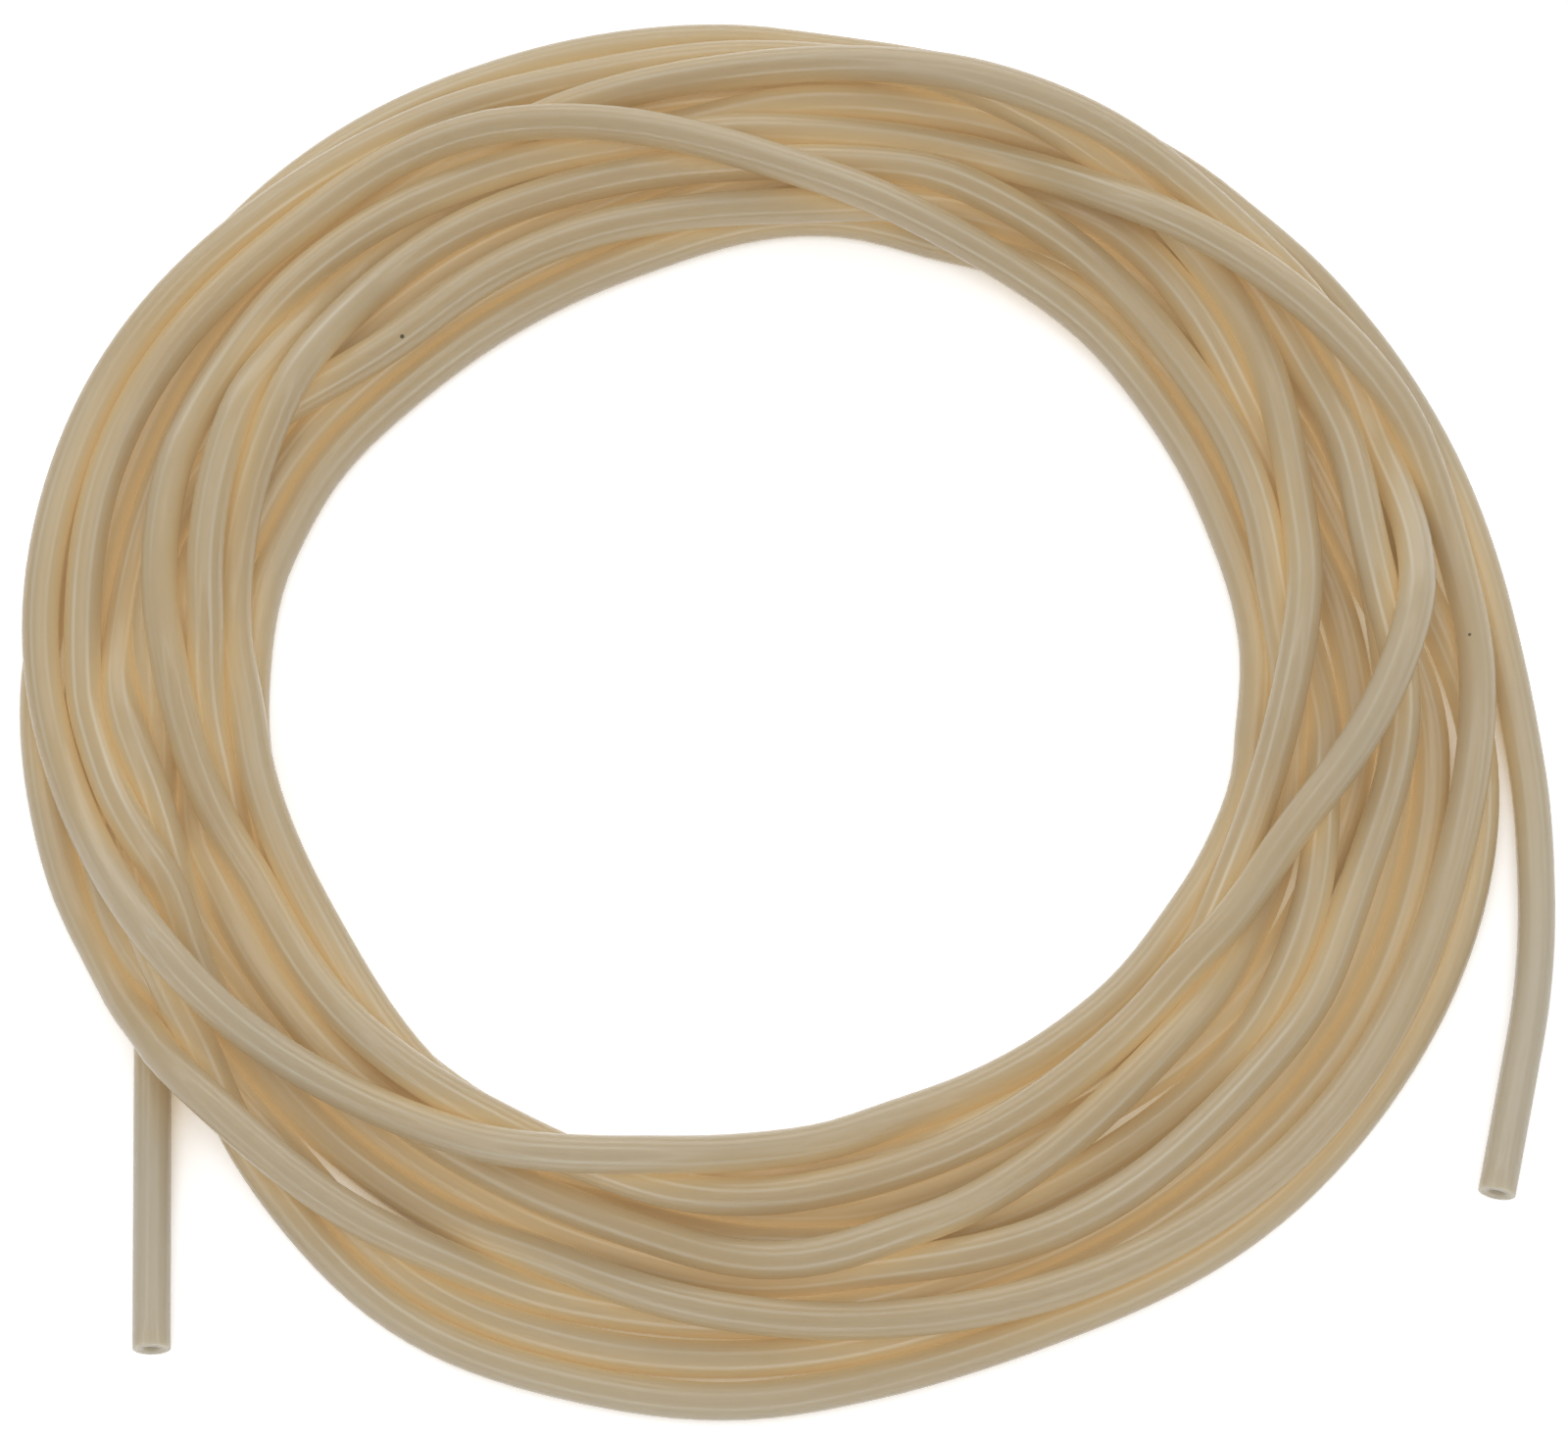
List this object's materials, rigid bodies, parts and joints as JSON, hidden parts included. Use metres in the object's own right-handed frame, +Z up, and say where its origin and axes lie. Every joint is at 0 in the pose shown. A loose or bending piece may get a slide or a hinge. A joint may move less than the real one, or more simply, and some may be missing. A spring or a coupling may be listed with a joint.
{
  "type": "rubber tubing coil",
  "caption": "Coil of soft cream rubber laboratory tubing lying flat, wound in loose crossing turns, with two plain cut ends that run free of it.",
  "frame": {"origin": "middle of the bottom of the whole object's box, on the surface that the coil lies on", "axes": "+Z up, along the coil's axis; +X towards the side where the last turn runs free; +Y away from the two cut ends"},
  "size_m": [0.2618, 0.2542, 0.0183],
  "materials": {
    "rubber": "matte"
  },
  "bodies": {
    "root": {"coil": "rubber", "left_end": "rubber", "right_end": "rubber"}
  },
  "joints": []
}
